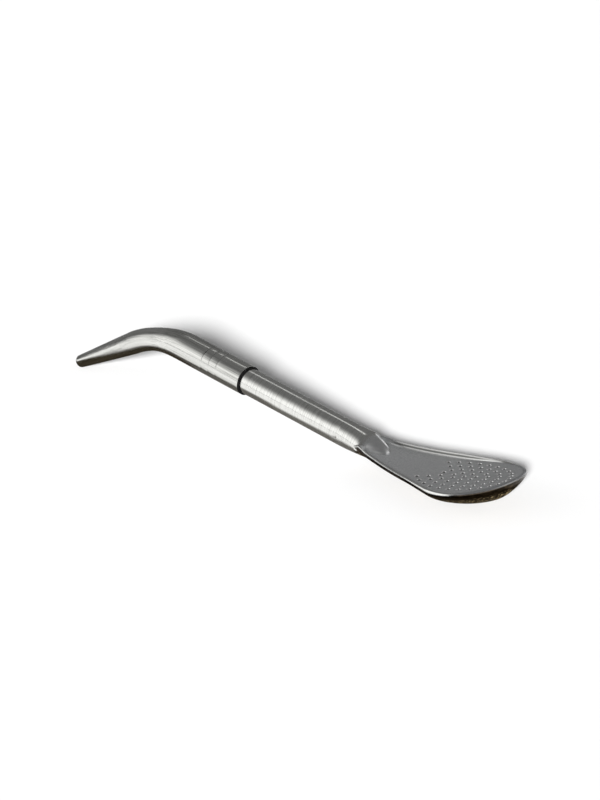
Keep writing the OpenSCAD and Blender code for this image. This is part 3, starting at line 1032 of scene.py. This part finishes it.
def spoon_steel():
    """Bright neck and rolled rim over a back painted brown to black as reflection and shade, with painted
    gold glints low down.
    """
    material, tree, bsdf = new_material("spoon_painted_reflection")
    below = mark_of(tree, "below")
    satin = mark_of(tree, "satin")
    cloud = grain_noise(tree, (0.3, 0.5, 0.5), 4.0, 0.6)
    fine = grain_noise(tree, (2.0, 2.0, 2.0), 4.0, 0.65)
    flake = grain_noise(tree, (0.9, 1.4, 1.4), 3.0, 0.7)
    # Painted reflection and shade on the back, by depth under the rim: brown, black deeper down, gold
    # glints low down
    low_down = ranged(tree, below, 0.0, 1.0, 1.4, 3.0)
    gold_glints = maths(tree, "MULTIPLY", low_down, ranged(tree, flake, 0.0, 1.0, 0.52, 0.6))
    back = mixed(tree, gold_glints, ramp(tree, cloud, PAINTED_BROWN_TONES), PAINTED_GOLD_GLINT)
    depth = maths(tree, "ADD", below, ranged(tree, fine, -0.1, 0.1, *NOISE))
    painted_black_back = mixed(tree, ranged(tree, depth, 1.0, 0.0, 0.2, 0.9), back, PAINTED_BLACK)
    bright = ramp(tree, fine, RIM_TONES)
    # The bright rim over the painted dark back
    rim_over_painted_back = mixed(tree, ranged(tree, depth, 0.0, 1.0, -0.25, 0.05), bright, painted_black_back)
    neck = maths(tree, "ADD", mark_of(tree, "neck"), ranged(tree, cloud, -0.25, 0.25, *NOISE))
    lathe = ramp(tree, drawing_lines(tree, (1.6, 0.05, 0.05), (6.0, 0.3, 0.3)), TURNED_TONES)
    steel = mixed(tree, ranged(tree, neck, 0.0, 1.0, 0.25, 0.75), rim_over_painted_back, lathe)
    finished = mixed(tree, satin, steel, RIM_SATIN)
    # Painted shade in the rim's crease
    creased = mixed(tree, mark_of(tree, "crease"), finished, CREASE_SHADE)
    tree.links.new(creased, bsdf.inputs["Base Color"])
    tree.links.new(ranged(tree, gold_glints, 1.0, 0.55), bsdf.inputs["Metallic"])
    polish = ranged(tree, cloud, 0.12, 0.26, *NOISE)
    tree.links.new(maths(tree, "ADD", polish, ranged(tree, satin, 0.0, 0.22)), bsdf.inputs["Roughness"])
    bump(tree, bsdf, fine, 0.12, TUBE_RELIEF)
    return material


# Stage, in metres: a white floor, and two dark cards on it that only reflections show; the one under the
# straw is painted contact shade
FLOOR_CORNERS = ((-8.0, -8.0), (8.0, 8.0))
FLOOR_COLOUR = (0.83, 0.83, 0.83)
CARD_Z = 0.00002
UNDER_CORNERS = ((-0.13, -0.06), (0.13, 0.06))
# Painted contact shade, dark brown, seen only in reflections
CONTACT_SHADE_COLOUR = (0.045, 0.037, 0.025)
# Lines that the card of painted contact shade under the straw follows: ends, half width, cover
UNDER_LINES = [
    ((-0.086, 0.0), (0.07, 0.0), 0.006, 0.88),
    ((-0.09, 0.0), (-0.056, 0.0), 0.007, 1.0),
    ((-0.06, 0.0), (-0.022, 0.0), 0.012, 0.9),
    ((-0.02, 0.0), (0.01, 0.0), 0.008, 0.88),
    ((0.045, 0.0), (0.074, 0.0), 0.0165, 1.0),
]
UNDER_FADE = 0.009
BEHIND_CORNERS = ((-1.5, 0.015), (1.0, 1.5))
BEHIND_COLOUR = (0.15, 0.15, 0.15)
# Where the card behind the straw fades in behind the tubes, and out beside the spoon
BEHIND_EDGE = (0.015, 0.03)
BEHIND_END = (0.014, 0.03)


def lay_sheet(name, corners, z, material):
    """A flat rectangle of the stage."""
    (left, near), (right, far) = corners
    points = [(left, near, z), (right, near, z), (right, far, z), (left, far, z)]
    mesh = bpy.data.meshes.new(name)
    mesh.from_pydata(points, [], [(0, 1, 2, 3)])
    mesh.materials.append(material)
    sheet = bpy.data.objects.new(name, mesh)
    bpy.context.scene.collection.objects.link(sheet)
    return sheet


def build_floor():
    material, _, bsdf = new_material("floor_white")
    bsdf.inputs["Base Color"].default_value = (*FLOOR_COLOUR, 1)
    bsdf.inputs["Roughness"].default_value = 1.0
    bsdf.inputs["Specular IOR Level"].default_value = 0.0
    lay_sheet("floor", FLOOR_CORNERS, 0, material)


def build_card(name, corners, colour, cover):
    """A dark card flat on the floor that only reflections show, as a black flag does in a studio; the one
    under the straw is painted contact shade.
    """
    material, tree, bsdf = new_material(name)
    tree.nodes.remove(bsdf)
    position = add_node(tree, "ShaderNodeNewGeometry").outputs["Position"]
    clear = add_node(tree, "ShaderNodeBsdfTransparent")
    dark = add_node(tree, "ShaderNodeEmission", {"Color": (*colour, 1), "Strength": 1.0})
    blend = add_node(tree, "ShaderNodeMixShader")
    tree.links.new(cover(tree, position), blend.inputs["Fac"])
    tree.links.new(clear.outputs["BSDF"], blend.inputs[1])
    tree.links.new(dark.outputs["Emission"], blend.inputs[2])
    tree.links.new(blend.outputs["Shader"], tree.nodes["Material Output"].inputs["Surface"])
    card = lay_sheet(name, corners, CARD_Z, material)
    card.visible_camera = False
    card.visible_diffuse = False
    card.visible_shadow = False


def line_gap(tree, position, start, end):
    """Distance on the floor from a straight line between two points."""
    away = add_node(tree, "ShaderNodeVectorMath", {1: (*start, 0)}, operation="SUBTRACT")
    tree.links.new(position, away.inputs[0])
    line = Vector(end) - Vector(start)
    run = facing(tree, (*(line / line.length_squared), 0), away.outputs["Vector"])
    clamped = add_node(tree, "ShaderNodeClamp")
    tree.links.new(run, clamped.inputs["Value"])
    along = add_node(tree, "ShaderNodeVectorMath", {0: (*line, 0)}, operation="SCALE")
    tree.links.new(clamped.outputs["Result"], along.inputs["Scale"])
    gap = add_node(tree, "ShaderNodeVectorMath", operation="DISTANCE")
    tree.links.new(away.outputs["Vector"], gap.inputs[0])
    tree.links.new(along.outputs["Vector"], gap.inputs[1])
    return gap.outputs["Value"]


def contact_shade_under_straw(tree, position):
    """Painted contact shade: 1 close under the straw, 0 beyond the card's soft edge."""
    cover = 0.0
    for start, end, wide, level in UNDER_LINES:
        gap = maths(tree, "SUBTRACT", line_gap(tree, position, start, end), wide)
        near = maths(tree, "SUBTRACT", 1.0, stepped(tree, gap, 0.0, UNDER_FADE))
        cover = maths(tree, "MAXIMUM", maths(tree, "MULTIPLY", near, level), cover)
    return cover


def behind_straw(tree, position):
    """1 far behind the tubes, 0 in front of them and beside the spoon."""
    behind = stepped(tree, facing(tree, (0, 1, 0), position), *BEHIND_EDGE)
    beside = stepped(tree, facing(tree, (1, 0, 0), position), *BEHIND_END)
    return maths(tree, "MULTIPLY", behind, maths(tree, "SUBTRACT", 1.0, beside))


# Light: a key lamp for the shadow, and a room for the reflections
KEY_FROM = Vector((0.578, -0.7425, 0.339))
KEY_STRENGTH = 9.1
KEY_SPREAD = math.radians(7)
ROOM_LEVEL = 0.15
# Windows: direction, strength; and the cosines of their soft sides, and heights of sill and top
WINDOWS = [(Vector((-0.643, -0.766, 0)), 1.0), (Vector((0.85, 0.53, 0)), 0.6)]
WINDOW_EDGE = (math.cos(math.radians(40)), math.cos(math.radians(16)))
WINDOW_SILL = (0.0, 0.05)
WINDOW_TOP = (0.3, 0.85)
# Small lamps: direction, cosines of the soft edge, level
LAMPS = [
    (Vector((-0.46, 0.40, 0.79)).normalized(), (0.9962, 0.9994), 0.8),
    (Vector((-0.25, 0.94, 0.2)).normalized(), (0.985, 0.997), 1.4),
]


def build_key():
    """Soft key lamp; it casts the shadow, and the room's own light makes the reflections."""
    lamp = bpy.data.lights.new("key", "SUN")
    lamp.energy = KEY_STRENGTH
    lamp.angle = KEY_SPREAD
    key = bpy.data.objects.new("key", lamp)
    key.rotation_mode = "QUATERNION"
    key.rotation_quaternion = KEY_FROM.to_track_quat("Z", "Y")
    key.visible_glossy = False
    bpy.context.scene.collection.objects.link(key)


def build_room():
    """A dim room with a tall soft window low in front, a weaker one behind, and two small lamps."""
    world = bpy.data.worlds.new("room")
    bpy.context.scene.world = world
    world.use_nodes = True
    tree = world.node_tree
    ray = add_node(tree, "ShaderNodeTexCoord").outputs["Generated"]
    height = facing(tree, (0, 0, 1), ray)
    flat = add_node(tree, "ShaderNodeVectorMath", {1: (1, 1, 0)}, operation="MULTIPLY")
    level_ray = add_node(tree, "ShaderNodeVectorMath", operation="NORMALIZE")
    tree.links.new(ray, flat.inputs[0])
    tree.links.new(flat.outputs["Vector"], level_ray.inputs[0])
    over_sill = stepped(tree, height, *WINDOW_SILL)
    tall = maths(tree, "SUBTRACT", over_sill, stepped(tree, height, *WINDOW_TOP))
    level = ROOM_LEVEL
    for direction, edge, strength in LAMPS:
        lamp = maths(tree, "MULTIPLY", stepped(tree, facing(tree, direction, ray), *edge), strength)
        level = maths(tree, "ADD", lamp, level)
    for direction, strength in WINDOWS:
        side = stepped(tree, facing(tree, direction, level_ray.outputs["Vector"]), *WINDOW_EDGE)
        pane = maths(tree, "MULTIPLY", maths(tree, "MULTIPLY", tall, side), strength)
        level = maths(tree, "ADD", level, pane)
    background = tree.nodes["Background"]
    tree.links.new(level, background.inputs["Strength"])
    background.inputs["Color"].default_value = (1, 1, 1, 1)


# Camera: its place and the point of the table that it looks at, in metres, its roll and its lens
CAMERA_AT = Vector((0.5792, -0.5958, 0.3370))
CAMERA_AIM = Vector((-0.01628, 0.02477, 0.0))
CAMERA_ROLL = math.radians(-0.676)
CAMERA_LENS = 137.7
CAMERA_CLIP = (0.01, 100)


def build_camera():
    data = bpy.data.cameras.new("camera")
    data.lens = CAMERA_LENS
    data.clip_start, data.clip_end = CAMERA_CLIP
    camera = bpy.data.objects.new("camera", data)
    level = (CAMERA_AT - CAMERA_AIM).to_track_quat("Z", "Y")
    turn = level @ Quaternion((0, 0, 1), CAMERA_ROLL)
    camera.matrix_world = Matrix.Translation(CAMERA_AT) @ turn.to_matrix().to_4x4()
    bpy.context.scene.collection.objects.link(camera)
    bpy.context.scene.camera = camera


bpy.context.scene.view_settings.view_transform = "Standard"
build_mouthpiece(tube_steel("drawn_steel", (0.9, 0.9, 0.02), (5.0, 5.0, 0.06), DRAWN_TONES, 0.4))
build_seal(rubber())
build_stem(tube_steel("turned_steel", (0.06, 0.06, 2.6), (0.4, 0.4, 8.0), TURNED_TONES, 0.35))
build_spoon(spoon_steel())
build_face(face_steel())
build_floor()
build_card("card_contact_shade", UNDER_CORNERS, CONTACT_SHADE_COLOUR, contact_shade_under_straw)
build_card("card_behind", BEHIND_CORNERS, BEHIND_COLOUR, behind_straw)
build_key()
build_room()
build_camera()
